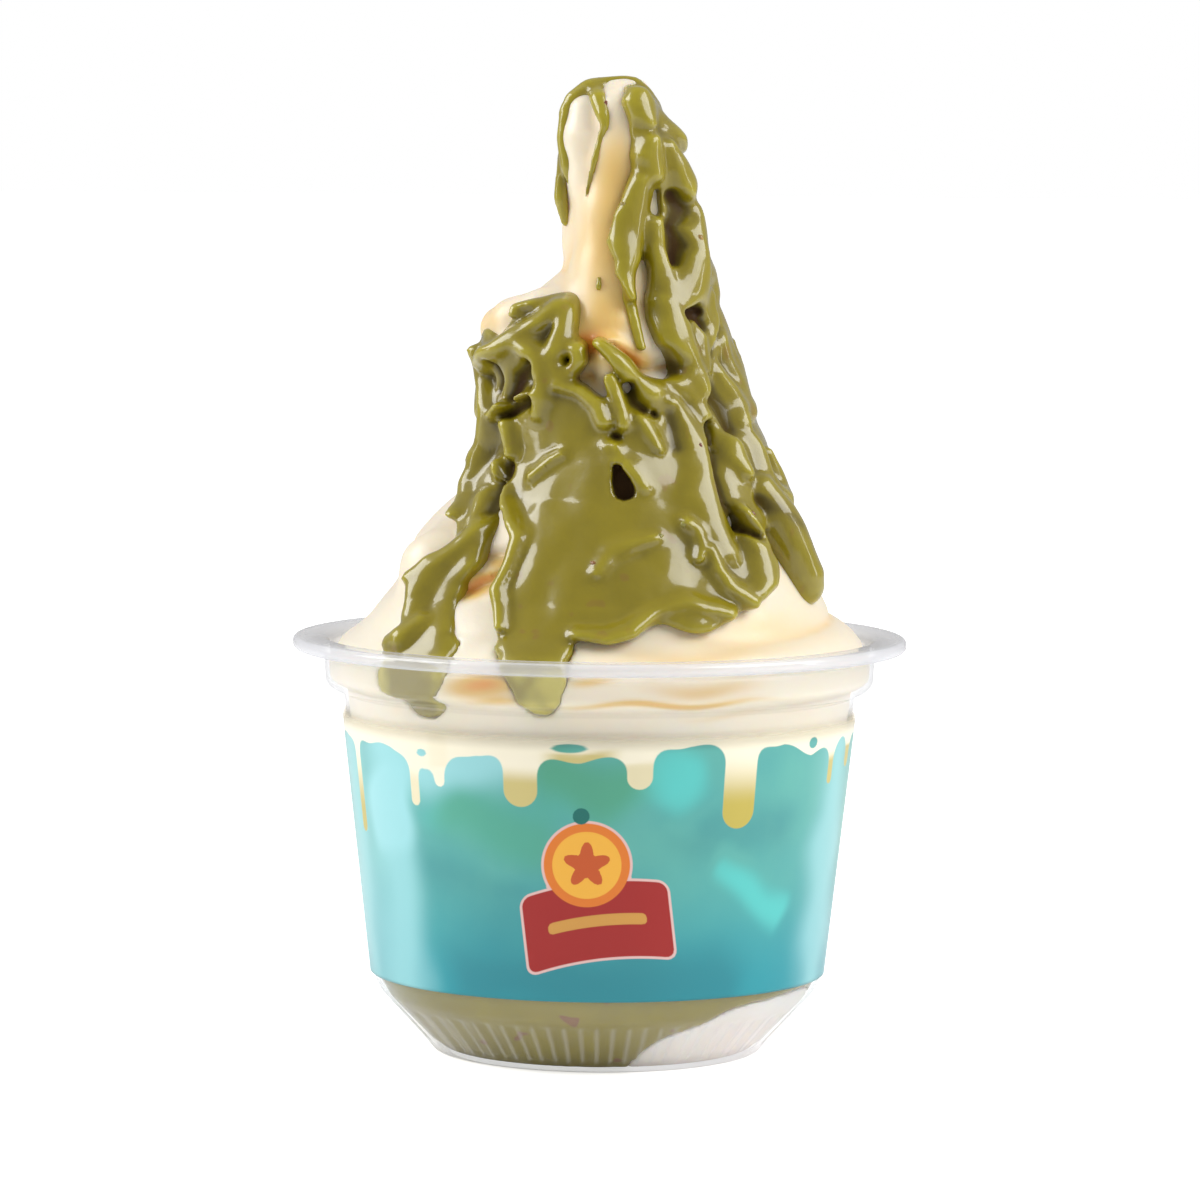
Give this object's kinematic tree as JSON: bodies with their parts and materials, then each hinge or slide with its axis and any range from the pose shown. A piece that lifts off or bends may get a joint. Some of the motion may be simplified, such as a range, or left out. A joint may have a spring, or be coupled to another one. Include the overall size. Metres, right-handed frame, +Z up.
{
  "type": "cup of pistachio ice cream",
  "caption": "Soft-serve ice cream in a leaning tower with thick pistachio sauce, in a clear plastic dessert cup with a rim, fluted foot and printed sleeve.",
  "frame": {"origin": "the middle of the flat underside of the cup's foot", "axes": "+Z up along the cup and the tower of ice cream, -Y towards the viewer of the picture, +X to the viewer's right"},
  "size_m": [0.098, 0.098, 0.156],
  "materials": {
    "clear_plastic": "thin clear thermoformed plastic, glossy",
    "sleeve_print": "glossy turquoise print with a border of dripping cream",
    "sauce": "thick glossy pistachio sauce with bits of nut",
    "cream": "smooth moist soft serve, softly glossy"
  },
  "bodies": {
    "root": {"cup": "clear_plastic", "sleeve": "sleeve_print", "base_sauce": "sauce", "base_cream": "cream", "ice_cream": "cream"}
  },
  "joints": []
}
